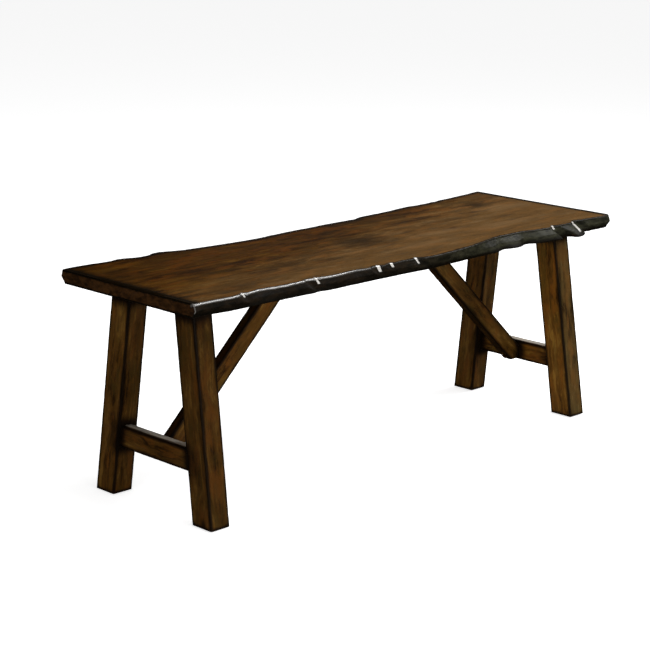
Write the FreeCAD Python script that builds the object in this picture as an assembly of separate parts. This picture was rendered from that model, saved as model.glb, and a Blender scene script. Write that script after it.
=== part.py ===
# Dining bench: a live-edge seat glued up from boards, on two end frames, with a brace at each end.
# Each end frame is two splayed legs, a stretcher tenoned between them and a batten on their tops.
# The frames and the braces are bolted to the seat from below, into threaded inserts.
# Millimetres. X runs along the seat, Y from front to back, Z up.
# The origin is on the floor, under the middle of the seat's outline.

import FreeCAD
import Part
import math
import os

Vector = FreeCAD.Vector
Placement = FreeCAD.Placement
Rotation = FreeCAD.Rotation

# Whole bench
bench_length = 1219.0
bench_height = 460.0
seat_front_reach = 224.0       # from the legs' centre line to the front edge's furthest point
seat_back_reach = 208.0        # from the legs' centre line to the back edge's furthest point

# Seat boards, edge to edge, with joints measured from the legs' centre line
seat_thickness = 28.0
front_joint = -112.0
middle_joint = -20.0
back_joint = 78.0
arris_ease = 1.5               # easing on every outer edge of the seat
corner_radius = 4.0
edge_belly = 3.0               # how far a live face swells between its two arrises
end_belly = 4.5                # how much more it swells at the sawn ends
end_belly_rise = 12            # how steeply that extra swell grows towards the ends

# Live edges: place along the seat, then reach at the top and at the underside
front_edge_shares = [
    (-1.00, 0.889, 0.871), (-0.93, 0.904, 0.879), (-0.84, 0.913, 0.906), (-0.78, 0.892, 0.906),
    (-0.73, 0.868, 0.906), (-0.67, 0.888, 0.906), (-0.57, 0.899, 0.915), (-0.49, 0.894, 0.926),
    (-0.42, 0.919, 0.928), (-0.34, 0.908, 0.931), (-0.25, 0.939, 0.932), (-0.17, 0.937, 0.935),
    (-0.09, 0.929, 0.938), (-0.02, 0.972, 0.951), (0.04, 0.982, 0.955), (0.09, 0.972, 0.942),
    (0.16, 0.947, 0.931), (0.24, 0.911, 0.922), (0.32, 0.854, 0.915), (0.37, 0.825, 0.911),
    (0.42, 0.806, 0.873), (0.455, 0.803, 0.906), (0.49, 0.804, 0.907), (0.54, 0.828, 0.866),
    (0.585, 0.854, 0.920), (0.67, 0.870, 0.960), (0.74, 0.866, 0.987), (0.79, 0.860, 1.000),
    (0.83, 0.855, 0.950), (0.87, 0.853, 0.890), (0.915, 0.867, 0.872), (0.95, 0.877, 0.878),
    (1.00, 0.875, 0.850),
]
back_edge_shares = [
    (-1.00, 0.981, 0.950), (-0.96, 0.994, 0.965), (-0.90, 0.980, 0.960), (-0.85, 0.964, 0.940),
    (-0.81, 0.964, 0.920), (-0.785, 0.980, 0.950), (-0.75, 0.951, 0.930), (-0.71, 0.904, 0.880),
    (-0.69, 0.902, 0.870), (-0.655, 0.939, 0.880), (-0.62, 0.950, 0.925), (-0.58, 0.918, 0.910),
    (-0.54, 0.868, 0.860), (-0.50, 0.848, 0.820), (-0.43, 0.818, 0.790), (-0.35, 0.797, 0.775),
    (-0.27, 0.778, 0.760), (-0.20, 0.780, 0.765), (-0.12, 0.797, 0.775), (-0.04, 0.807, 0.780),
    (0.07, 0.808, 0.785), (0.15, 0.813, 0.790), (0.235, 0.809, 0.790), (0.265, 0.823, 0.785),
    (0.30, 0.844, 0.820), (0.40, 0.854, 0.835), (0.50, 0.881, 0.845), (0.57, 0.901, 0.870),
    (0.64, 0.885, 0.870), (0.70, 0.896, 0.865), (0.77, 0.919, 0.880), (0.86, 0.940, 0.900),
    (0.94, 0.962, 0.925), (1.00, 0.986, 0.950),
]

# Scoops that the drawknife left across the live edges: place along the seat, share of the full bite
scoop_radius = 14.0
scoop_bite = 5.0
scoop_fade_share = 0.35        # how fast a scoop leaves the face on its way down
front_scoop_shares = [
    (-0.80, 0.55), (-0.525, 1.00), (-0.245, 1.00), (-0.18, 0.60), (-0.06, 0.95), (0.685, 0.55),
    (0.822, 1.10),
]
back_scoop_shares = [(-0.675, 0.80), (0.255, 0.70), (0.72, 0.60)]

# Legs
leg_width = 56.5               # across the leg, in the frame's plane
leg_thickness = 47.0
leg_arris = 2.5
foot_spread = 357.4            # outside to outside of a frame's two feet
foot_inset = 51.0              # from the seat's end to the frame's outer face at the foot
splay_angle = 7.6              # each leg's slope, in the frame's plane
rake_angle = 1.44              # the frame's lean towards the middle of the bench

# Stretcher, tenoned into both legs and set towards the frame's outer face
stretcher_thickness = 26.0
stretcher_height = 44.0
stretcher_lift = 101.0         # from the feet to its underside
stretcher_offset = 5.0         # from the frame's middle plane to its own
stretcher_arris = 2.0
tenon_thickness = 12.0
tenon_height = 30.0
tenon_length = 28.0
tenon_end_gap = 1.5            # room for glue at the bottom of the mortise

# Batten across a frame's leg tops, under the seat
batten_width = 52.0
batten_thickness = 20.0
batten_margin = 2.5            # how far it passes the legs' outer faces
batten_chamfer = 5.0

# Diagonal brace from the stretcher's inner face to the seat's underside
brace_depth = 40.0
brace_thickness = 24.0
brace_head_x = 189.0           # middle of its upper end, from the middle of the bench
brace_foot_lift = 4.5          # from the stretcher's underside to the brace's trimmed tip, on its middle line
brace_arris = 2.0

# Bolts, washers and threaded inserts, alike at every battens' and braces' joint
bolt_radius = 3.0
bolt_head_radius = 5.0
bolt_head_height = 6.0
bolt_socket_width = 5.0
bolt_socket_depth = 3.0
bolt_reach = 13.0              # bolt inside the insert
bolt_hole_radius = 3.5
washer_radius = 6.0
washer_thickness = 1.6
counterbore_radius = 7.2
insert_radius = 5.0
insert_length = 15.0
insert_collar_radius = 6.5
insert_collar_thickness = 1.0
batten_bolt_offset = 42.0      # from the legs' centre line
brace_bolt_lift = 13.0         # above the brace's trimmed tip

# Dowels and screws between a batten and its two legs
dowel_radius = 4.0
dowel_in_leg = 20.0
dowel_in_batten = 14.0
dowel_spacing = 30.0
dowel_chamfer = 1.0
screw_radius = 2.25
screw_head_radius = 4.6
screw_length = 60.0
screw_tip = 6.0

# Glides under the feet, each held by one small screw
glide_radius = 11.0
glide_thickness = 3.0
glide_ease = 0.8
glide_screw_radius = 1.3
glide_screw_head_radius = 2.8
glide_screw_length = 14.0
glide_screw_tip = 2.5
glide_screw_recess = 0.6       # how far its head lies above the floor

# Making
fit_gap = 0.15                 # round each dowel, bolt, screw and insert in its hole
drill_run = 1.5                # how much deeper a blind hole is than what it holds
cut_overrun = 30.0             # how far a cutting body passes the wood it cuts
round_sides = 12               # flat sides that stand for a small round, as there are many of them
point_share = 0.2              # a screw's blunt point, of its shank

# Places that follow from the sizes
half_length = bench_length / 2
leg_line_y = (seat_front_reach - seat_back_reach) / 2
seat_under_z = bench_height - seat_thickness
batten_under_z = seat_under_z - batten_thickness
foot_z = glide_thickness
splay = math.radians(splay_angle)
rake = math.radians(rake_angle)
frame_height = (batten_under_z - foot_z) / math.cos(rake)
frame_foot_x = half_length - foot_inset - leg_thickness / 2
frame_top_x = frame_foot_x - frame_height * math.sin(rake)
stretcher_inner = stretcher_offset - stretcher_thickness / 2
brace_foot_z = foot_z + stretcher_lift + brace_foot_lift
brace_foot_x = frame_foot_x + stretcher_inner - (brace_foot_z - foot_z) * math.tan(rake)
brace_angle = math.degrees(math.atan2(seat_under_z - brace_foot_z, brace_foot_x - brace_head_x))
bolt_grip = batten_thickness   # wood between a washer and its insert
tool_reach = bench_length + bench_height

ORIGIN = Vector(0, 0, 0)
ALONG = Vector(1, 0, 0)
ACROSS = Vector(0, 1, 0)
UP = Vector(0, 0, 1)
frame_place = Placement(Vector(frame_foot_x, leg_line_y, foot_z), Rotation(ACROSS, -rake_angle))


# Common shapes
def placed(shape, place):
    moved = shape.copy()
    moved.Placement = place.multiply(moved.Placement)
    return moved


def mirrored(shape, normal):
    return shape.mirror(ORIGIN, normal)


def box(x_low, x_high, y_low, y_high, z_low, z_high):
    return Part.makeBox(x_high - x_low, y_high - y_low, z_high - z_low, Vector(x_low, y_low, z_low))


def between_levels(z_low, z_high):
    return box(-tool_reach, tool_reach, -tool_reach, tool_reach, z_low, z_high)


def closed_face(points):
    return Part.Face(Part.makePolygon(points + points[:1]))


def eased(shape, radius, longer_than):
    """Round a bar's long edges."""
    return shape.makeFillet(radius, [edge for edge in shape.Edges if edge.Length > longer_than])


def turned(profile):
    """A small round body from its half profile, given as (radius, height) points from its low end up."""
    turns = [2 * math.pi * step / round_sides for step in range(round_sides)]
    rings = [
        [Vector(radius * math.cos(turn), radius * math.sin(turn), height) for turn in turns]
        for radius, height in profile
    ]
    faces = [closed_face(rings[0]), closed_face(rings[-1])]
    for low, high in zip(rings, rings[1:]):
        for step in range(round_sides):
            faces.append(closed_face([low[step - 1], low[step], high[step], high[step - 1]]))
    return Part.makeSolid(Part.makeShell(faces))


def rod(radius, z_low, z_high):
    return turned([(radius, z_low), (radius, z_high)])


# Seat
def edge_sizes_at(shares, place):
    """Reach at the top and at the underside, read from a live edge's table at one place along it."""
    for (x0, top0, under0), (x1, top1, under1) in zip(shares, shares[1:]):
        if x0 <= place <= x1:
            part = (place - x0) / (x1 - x0)
            return top0 + part * (top1 - top0), under0 + part * (under1 - under0)
    return shares[-1][1:]


def edge_board_outline(joint, side, reach, shares, level):
    """One board's outline at one height: joint, two sawn ends, two round corners and the live edge."""
    z, inset, top_part, swell = level
    end_x = half_length - inset
    radius = corner_radius - inset
    points = []
    for x_share, top_share, under_share in shares:
        belly = swell * (edge_belly + end_belly * abs(x_share) ** end_belly_rise)
        out = reach * (top_part * top_share + (1 - top_part) * under_share) + belly - inset
        points.append(Vector(x_share * (end_x - radius), leg_line_y + side * out, z))
    live_edge = Part.BSplineCurve()
    live_edge.interpolate(points[::-1])

    def corner(tip, toward):
        centre = tip - Vector(0, side * radius, 0)
        middle = centre + Vector(toward * radius * math.sqrt(0.5), side * radius * math.sqrt(0.5), 0)
        return centre + Vector(toward * radius, 0, 0), middle

    right_start, right_middle = corner(points[-1], 1)
    left_start, left_middle = corner(points[0], -1)
    joint_left = Vector(-end_x, leg_line_y + joint, z)
    joint_right = Vector(end_x, leg_line_y + joint, z)
    return Part.Wire([
        Part.makeLine(joint_left, joint_right),
        Part.makeLine(joint_right, right_start),
        Part.Arc(right_start, right_middle, points[-1]).toShape(),
        live_edge.toShape(),
        Part.Arc(points[0], left_middle, left_start).toShape(),
        Part.makeLine(left_start, joint_left),
    ])


def edge_board(joint, side, reach, shares, scoops):
    """A board with a live edge: side is -1 for the front of the bench and 1 for the back."""
    levels = [
        (seat_under_z, arris_ease, 0, 0),
        (seat_under_z + arris_ease, 0, 0, 0),
        (seat_under_z + seat_thickness / 2, 0, 0.5, 1),
        (bench_height - arris_ease, 0, 1, 0),
        (bench_height, arris_ease, 1, 0),
    ]
    outlines = [edge_board_outline(joint, side, reach, shares, level) for level in levels]
    board = Part.makeLoft(outlines, True, True)
    for place, bite_share in scoops:
        top_share, under_share = edge_sizes_at(shares, place)
        bite = scoop_bite * bite_share
        run = Vector(1, side * scoop_fade_share, -1).normalize()
        arris = Vector(place * half_length, leg_line_y + side * reach * top_share, bench_height)
        axis_point = arris + Vector(0, side * (scoop_radius - bite), 0)
        start = axis_point - run * cut_overrun
        board = board.cut(Part.makeCylinder(scoop_radius, cut_overrun + seat_thickness * 2, start, run))
    return board


def inner_board(low_joint, high_joint):
    """A plain board of the seat, with its sawn ends eased."""
    low_y = leg_line_y + low_joint
    end = half_length - arris_ease
    low_z = seat_under_z + arris_ease
    high_z = bench_height - arris_ease
    profile = [
        (-end, seat_under_z), (end, seat_under_z), (half_length, low_z), (half_length, high_z),
        (end, bench_height), (-end, bench_height), (-half_length, high_z), (-half_length, low_z),
    ]
    return closed_face([Vector(x, low_y, z) for x, z in profile]).extrude(ACROSS * (high_joint - low_joint))


# End frame, drawn upright in its own plane: X outwards, Y across the bench, Z up from the feet
def leg_outer(height):
    return foot_spread / 2 - height * math.tan(splay)


def leg_inner(height):
    return leg_outer(height) - leg_width / math.cos(splay)


def frame_plate(points, x_low, x_high):
    """A flat outline in the frame's plane, given as (across, height) points, with a thickness."""
    return closed_face([Vector(x_low, y, z) for y, z in points]).extrude(ALONG * (x_high - x_low))


def leg_blank():
    """The back leg's bar, longer than the leg at both ends."""
    low = -cut_overrun
    high = frame_height + cut_overrun
    outline = [(leg_outer(low), low), (leg_outer(high), high), (leg_inner(high), high), (leg_inner(low), low)]
    return eased(frame_plate(outline, -leg_thickness / 2, leg_thickness / 2), leg_arris, frame_height)


def bar_between_legs(thickness, height, past_shoulder):
    """A bar centred on the stretcher, ending a little way past the legs' inner faces."""
    middle = stretcher_lift + stretcher_height / 2
    low = middle - height / 2
    high = middle + height / 2
    outline = [
        (leg_inner(low) + past_shoulder, low), (leg_inner(high) + past_shoulder, high),
        (-leg_inner(high) - past_shoulder, high), (-leg_inner(low) - past_shoulder, low),
    ]
    return frame_plate(outline, stretcher_offset - thickness / 2, stretcher_offset + thickness / 2)


def stretcher():
    body = eased(bar_between_legs(stretcher_thickness, stretcher_height, 0), stretcher_arris, leg_inner(0))
    tenons = bar_between_legs(tenon_thickness, tenon_height, tenon_length)
    return placed(body.fuse(tenons).removeSplitter(), frame_place)


def leg_top_y(side):
    return leg_line_y + side * (leg_outer(frame_height) + leg_inner(frame_height)) / 2


def foot_y(side):
    return leg_line_y + side * (leg_outer(0) + leg_inner(0)) / 2


def leg(side):
    """A finished leg of the right frame: side is -1 for the front leg and 1 for the back one."""
    blank = leg_blank() if side > 0 else mirrored(leg_blank(), ACROSS)
    mortise = bar_between_legs(tenon_thickness, tenon_height, tenon_length + tenon_end_gap)
    shape = placed(blank.cut(mortise), frame_place).common(between_levels(foot_z, batten_under_z))
    for hole in dowel_shapes(side, fit_gap, drill_run):
        shape = shape.cut(hole)
    shape = shape.cut(batten_screw(side, fit_gap, drill_run))
    return shape.cut(glide_screw(side, fit_gap, drill_run))


def batten():
    """The batten on the right frame's leg tops, with its holes and chamfered ends."""
    half_span = leg_outer(frame_height) + batten_margin
    low_y = leg_line_y - half_span
    high_y = leg_line_y + half_span
    profile = [
        (low_y + batten_chamfer, batten_under_z), (high_y - batten_chamfer, batten_under_z),
        (high_y, batten_under_z + batten_chamfer), (high_y, seat_under_z),
        (low_y, seat_under_z), (low_y, batten_under_z + batten_chamfer),
    ]
    side_x = frame_top_x - batten_width / 2
    shape = closed_face([Vector(side_x, y, z) for y, z in profile]).extrude(ALONG * batten_width)
    for side in (-1, 1):
        for hole in dowel_shapes(side, fit_gap, drill_run):
            shape = shape.cut(hole)
        shape = shape.cut(batten_screw(side, fit_gap, drill_run))
    for place in batten_bolt_places:
        shape = shape.cut(placed(bolt_hole(), place))
    return shape


# Brace, drawn along its own length from the middle of its head
def brace():
    run = (frame_foot_x - brace_head_x) / math.cos(math.radians(brace_angle))
    past_end = brace_depth + cut_overrun
    bar = box(-past_end, run + past_end, -brace_thickness / 2, brace_thickness / 2, -brace_depth / 2, brace_depth / 2)
    bar = eased(bar, brace_arris, run)
    head = Vector(brace_head_x, leg_line_y, seat_under_z)
    shape = placed(bar, Placement(head, Rotation(ACROSS, brace_angle)))
    shape = shape.common(between_levels(brace_foot_z, seat_under_z))
    beyond = box(stretcher_inner, tool_reach, -tool_reach, tool_reach, -tool_reach, tool_reach)
    shape = shape.cut(placed(beyond, frame_place))
    for place in (brace_head_place, brace_foot_place):
        shape = shape.cut(placed(bolt_hole(), place)).cut(placed(counterbore(), place))
    return shape


# Bolted joint, drawn with its insert above level zero and the clamped wood below
def bolt():
    head_top = -bolt_grip - washer_thickness
    head_low = head_top - bolt_head_height
    body = rod(bolt_head_radius, head_low, head_top).fuse(rod(bolt_radius, head_top, bolt_reach))
    corner = bolt_socket_width / 2 / math.cos(math.pi / 6)
    turns = [step * math.pi / 3 for step in range(6)]
    hexagon = [Vector(corner * math.cos(turn), corner * math.sin(turn), head_low) for turn in turns]
    return body.cut(closed_face(hexagon).extrude(UP * bolt_socket_depth))


def washer():
    ring = rod(washer_radius, -bolt_grip - washer_thickness, -bolt_grip)
    return ring.cut(rod(bolt_radius + fit_gap, -bolt_grip - washer_thickness, -bolt_grip))


def insert_body(gap, extra_depth):
    collar = rod(insert_collar_radius + gap, 0, insert_collar_thickness)
    return collar.fuse(rod(insert_radius + gap, 0, insert_length + extra_depth))


def threaded_insert():
    return insert_body(0, 0).cut(rod(bolt_radius + fit_gap, 0, insert_length))


def insert_pocket():
    return insert_body(fit_gap, drill_run)


def bolt_hole():
    return rod(bolt_hole_radius, -bolt_grip, 0)


def counterbore():
    return rod(counterbore_radius, -bolt_grip - brace_depth, -bolt_grip)


# Dowels and screws of the right frame
def dowel(gap, extra_depth):
    low = -dowel_in_leg - extra_depth
    high = dowel_in_batten + extra_depth
    radius = dowel_radius + gap
    ease = dowel_chamfer
    return turned([(radius - ease, low), (radius, low + ease), (radius, high - ease), (radius - ease, high)])


def dowel_shapes(side, gap, extra_depth):
    """The two dowels of one leg's top, or with a gap the holes that take them."""
    shapes = []
    for step in (-1, 1):
        y = leg_top_y(side) + step * dowel_spacing / 2
        shapes.append(placed(dowel(gap, extra_depth), Placement(Vector(frame_top_x, y, batten_under_z), Rotation())))
    return shapes


def countersunk(radius, head_radius, length, tip):
    """A screw's body with its flat head's face at level zero and its tip below."""
    point = radius * point_share
    return turned([(point, -length), (radius, tip - length), (radius, radius - head_radius), (head_radius, 0)])


def batten_screw(side, gap, extra_depth):
    body = countersunk(screw_radius + gap, screw_head_radius + gap, screw_length + extra_depth, screw_tip)
    return placed(body, Placement(Vector(frame_top_x, leg_top_y(side), seat_under_z), Rotation()))


def glide_screw(side, gap, extra_depth):
    length = glide_screw_length + extra_depth
    body = countersunk(glide_screw_radius + gap, glide_screw_head_radius + gap, length, glide_screw_tip)
    place = Vector(frame_foot_x, foot_y(side), glide_screw_recess)
    return placed(body, Placement(place, Rotation(ALONG, 180)))


def glide(side):
    pad = turned([(glide_radius - glide_ease, 0), (glide_radius, glide_ease), (glide_radius, glide_thickness)])
    mouth = rod(glide_screw_head_radius + fit_gap, 0, glide_screw_recess)
    pad = placed(pad.cut(mouth), Placement(Vector(frame_foot_x, foot_y(side), 0), Rotation()))
    return pad.cut(glide_screw(side, fit_gap, drill_run))


# Where the bolts go at the right end
batten_bolt_places = [
    Placement(Vector(frame_top_x, leg_line_y + side * batten_bolt_offset, seat_under_z), Rotation())
    for side in (-1, 1)
]
brace_head_place = Placement(Vector(brace_head_x, leg_line_y, seat_under_z), Rotation())
brace_bolt_height = (brace_foot_z + brace_bolt_lift - foot_z) / math.cos(rake)
brace_foot_place = frame_place.multiply(
    Placement(Vector(stretcher_inner, 0, brace_bolt_height), Rotation(UP, ALONG)))
seat_bolt_places = batten_bolt_places + [brace_head_place]
all_bolt_places = seat_bolt_places + [brace_foot_place]


def both_ends(shapes):
    """Shapes of the right end with their mirror images at the left end, as one group."""
    return Part.makeCompound(shapes + [mirrored(shape, ALONG) for shape in shapes])


def save(name, shape):
    shape.exportStep("parts/" + name + ".step")


os.makedirs("parts", exist_ok=True)

seat_boards = {
    "front_edge_board": edge_board(front_joint, -1, seat_front_reach, front_edge_shares, front_scoop_shares),
    "front_inner_board": inner_board(front_joint, middle_joint),
    "back_inner_board": inner_board(middle_joint, back_joint),
    "back_edge_board": edge_board(back_joint, 1, seat_back_reach, back_edge_shares, back_scoop_shares),
}
pockets = both_ends([placed(insert_pocket(), place) for place in seat_bolt_places])
for name, board in seat_boards.items():
    save(name, board.cut(pockets) if "inner" in name else board)

stretcher_with_pocket = stretcher().cut(placed(insert_pocket(), brace_foot_place))
frame_pieces = {
    "front_{}_leg": leg(-1),
    "back_{}_leg": leg(1),
    "{}_stretcher": stretcher_with_pocket,
    "{}_batten": batten(),
    "{}_brace": brace(),
}
for name, shape in frame_pieces.items():
    save(name.format("right"), shape)
    save(name.format("left"), mirrored(shape, ALONG))

save("bolts", both_ends([placed(bolt(), place) for place in all_bolt_places]))
save("washers", both_ends([placed(washer(), place) for place in all_bolt_places]))
save("threaded_inserts", both_ends([placed(threaded_insert(), place) for place in all_bolt_places]))
save("batten_dowels", both_ends(dowel_shapes(-1, 0, 0) + dowel_shapes(1, 0, 0)))
save("batten_screws", both_ends([batten_screw(-1, 0, 0), batten_screw(1, 0, 0)]))
save("glides", both_ends([glide(-1), glide(1)]))
save("glide_screws", both_ends([glide_screw(-1, 0, 0), glide_screw(1, 0, 0)]))
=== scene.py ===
import math
import random

import bmesh
import bpy
import numpy
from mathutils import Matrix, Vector, noise
from mathutils.bvhtree import BVHTree


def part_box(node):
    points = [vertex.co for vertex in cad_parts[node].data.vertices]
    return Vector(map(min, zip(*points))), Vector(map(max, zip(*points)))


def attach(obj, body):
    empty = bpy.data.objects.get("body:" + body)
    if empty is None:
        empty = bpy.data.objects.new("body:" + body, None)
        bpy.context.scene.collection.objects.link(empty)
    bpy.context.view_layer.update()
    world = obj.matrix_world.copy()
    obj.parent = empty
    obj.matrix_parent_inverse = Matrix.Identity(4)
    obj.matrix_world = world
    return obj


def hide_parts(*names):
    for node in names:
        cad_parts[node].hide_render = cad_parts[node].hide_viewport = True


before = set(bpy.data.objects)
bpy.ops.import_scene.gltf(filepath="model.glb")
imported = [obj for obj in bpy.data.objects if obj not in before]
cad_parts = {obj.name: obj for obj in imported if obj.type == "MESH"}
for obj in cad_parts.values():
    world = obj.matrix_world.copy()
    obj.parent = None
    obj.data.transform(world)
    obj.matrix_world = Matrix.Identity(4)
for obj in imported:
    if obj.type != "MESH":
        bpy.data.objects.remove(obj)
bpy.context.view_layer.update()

# Camera
# The photograph's viewpoint, from the front left and a little above the seat, through a long lens.
camera_place = (-2.7808, -2.7928, 1.2861)
camera_turn = math.radians(-43.87)
camera_tilt = math.radians(75.65)
lens = 106.53


def new_object(name, data):
    """Adds an object to the scene."""
    added = bpy.data.objects.new(name, data)
    bpy.context.scene.collection.objects.link(added)
    return added


camera = new_object("camera", bpy.data.cameras.new("camera"))
camera.location = camera_place
camera.rotation_euler = (camera_tilt, 0, camera_turn)
camera.data.lens = lens
bpy.context.scene.camera = camera
bpy.context.scene.view_settings.view_transform = "Standard"

# Seat edge boards
# The two outer boards of the seat, in dark stained walnut. Each keeps the tree's own edge, hewn with a
# drawknife, stained nearly black and lacquered. Its straight joint is glued to the board beside it.
seat_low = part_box("front_inner_board")[0].z
seat_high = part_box("front_inner_board")[1].z
half_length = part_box("front_inner_board")[1].x
front_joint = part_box("front_inner_board")[0].y
back_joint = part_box("back_inner_board")[1].y
cad_ease = 0.0016                 # the solids' own easing, which the live face is read inside of
probe_from = 0.4                  # how far out the rays that read it start
probe_inset = 0.005               # and how far from the seat's ends they stay
station_step = 0.0018
corner_turns = [math.radians(turn) for turn in (14, 28, 42, 55, 67, 79, 90)]
end_ease = 0.0015
live_levels = 13
smoothing_passes = 2
top_steps = [0.0014, 0.003, 0.005, 0.0078, 0.0115, 0.0165, 0.0225, 0.03, 0.038, 0.047, 0.057, 0.068, 0.08]
under_steps = [0.003, 0.008, 0.018, 0.034, 0.055]
arc_turns = [math.radians(turn) for turn in (0, 15, 30, 45, 60, 75, 90)]
joint_clear = 0.004               # between the glued joint and the first row on the top
joint_step = 0.001
top_round = 0.0026                # rounding of the upper arris at its sharpest,
top_round_wear = 0.0022           # what wear adds here and there
top_round_worn = 0.0012           # and what it adds where the arris is polished
low_round = 0.0024
plane_dips = 0.00034              # unevenness that a hand plane leaves
plane_ripple = 0.00012
gouge_count = 90
gouge_depth = 0.0016
gouge_width = (0.007, 0.024)
gouge_slant = (-0.2, 1.2)
gouge_reach = 0.06
hewn_roughness = 0.0008
hewn_fibre = 0.00025
crease_angle = math.radians(38)
# Nicks that a chisel left in the front arris: place along the seat, depth, height, half width, and how far
# they slant along the seat for each metre down
nicks = [
    (-0.487, 0.0022, 0.008, 0.0060, 0.5), (-0.300, 0.0038, 0.013, 0.0065, 0.4),
    (-0.136, 0.0046, 0.014, 0.0092, 0.3), (-0.101, 0.0036, 0.009, 0.0088, 0.4),
    (-0.031, 0.0034, 0.013, 0.0075, 0.5), (0.417, 0.0034, 0.009, 0.0100, 0.4),
    (0.486, 0.0044, 0.020, 0.0105, 0.0),
]
nick_step = 0.0009
nick_wall = -0.4                  # where a nick's bright wall lies, and how wide it is, in half widths
nick_wall_width = 0.5
# Along the worn front arris its colour also carries a painted highlight
wear_and_highlight_from = -0.13                 # the polished front arris runs from here
wear_and_highlight_to = -0.27                   # and is fully worn from here to the left end
least_wear_and_highlight = 0.04
corner_polish_and_highlight = 0.26              # painted highlight and polish on the front left corner, down to this depth
corner_highlight_depth = 0.018
corner_highlight_share = 0.67        # where round the corner it is brightest, and how wide it is there
corner_highlight_width_share = 0.22


def waves(x, y, z):
    """Smooth noise between 0 and 1."""
    return 0.5 + 0.5 * noise.noise(Vector((x, y, z)))


def top_dip(x, y):
    """How far the hand-planed top lies below its highest level at one place."""
    return plane_dips * waves(x * 5.0, y * 16.0, 1.7) + plane_ripple * waves(x * 14.0, y * 48.0, 8.2)


def solid_tree(node):
    """A search tree over a CAD node's surface."""
    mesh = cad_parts[node].data
    points = [vertex.co.copy() for vertex in mesh.vertices]
    return BVHTree.FromPolygons(points, [tuple(face.vertices) for face in mesh.polygons])


def live_reach(node, side, stations):
    """Where the solid's live face lies, read with rays from outside: one row of levels for each station."""
    tree = solid_tree(node)
    inner = half_length - probe_inset
    inwards = Vector((0, -side, 0))
    levels = [
        seat_low + cad_ease + (seat_high - seat_low - 2 * cad_ease) * level / (live_levels - 1)
        for level in range(live_levels)
    ]
    rows = []
    for x in stations:
        at = max(-inner, min(inner, x))
        rows.append([tree.ray_cast(Vector((at, side * probe_from, z)), inwards)[0].y for z in levels])
    for _ in range(smoothing_passes):
        rows = [
            [(a + 2 * b + c) / 4 for a, b, c in zip(before, row, after)]
            for before, row, after in zip(rows[:1] + rows[:-1], rows, rows[1:] + rows[-1:])
        ]
    return rows


def gouges(seed):
    """Shallow drawknife cuts along a live face: place, width, depth and slant of each."""
    draw = random.Random(seed)
    cuts = []
    for _ in range(gouge_count):
        place = draw.uniform(-half_length, half_length)
        width = draw.uniform(*gouge_width)
        cuts.append((place, width, gouge_depth * draw.uniform(0.25, 1.0), draw.uniform(*gouge_slant)))
    return cuts


def nick_depth(x, drop):
    """How deep a nick bites into the arris, and how bright its left wall is."""
    depth = 0.0
    share = 0.0
    for place, deepest, height, half_width, slant in nicks:
        off = (x - place - slant * drop) / half_width
        if abs(off) < 1 and drop < height:
            left = 1 - drop / height
            depth = max(depth, deepest * (1 - abs(off)) * left)
            share = max(share, (1 - ((off - nick_wall) / nick_wall_width) ** 2) * left ** 0.35)
    return depth, share


def hewn_depth(cuts, x, drop, seed):
    """How deep the live face is cut at one place, drop being the distance below the top."""
    depth = 0.0
    for place, width, deepest, slant in cuts:
        off = (x - place - slant * drop) / width
        if abs(off) < 1:
            depth = max(depth, deepest * (1 - off * off))
    rough = waves(x * 70.0, drop * 90.0, seed)
    fibre = waves(x * 40.0, drop * 420.0, seed + 3)
    return depth + hewn_roughness * rough + hewn_fibre * fibre


def stations_along(left_round, right_round):
    """Places along the seat, close together at the rounded corners and the nicks."""
    low = left_round - half_length
    high = half_length - right_round
    middle = [low]
    reaches = [(place - width, place + width + slant * height) for place, _, height, width, slant in nicks]
    while middle[-1] < high:
        at = middle[-1]
        in_nick = any(first < at < last for first, last in reaches)
        middle.append(at + (nick_step if in_nick else station_step))
    middle[-1] = high
    left = [low - left_round * math.sin(turn) for turn in reversed(corner_turns)]
    return left + middle + [high + right_round * math.sin(turn) for turn in corner_turns]


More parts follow.
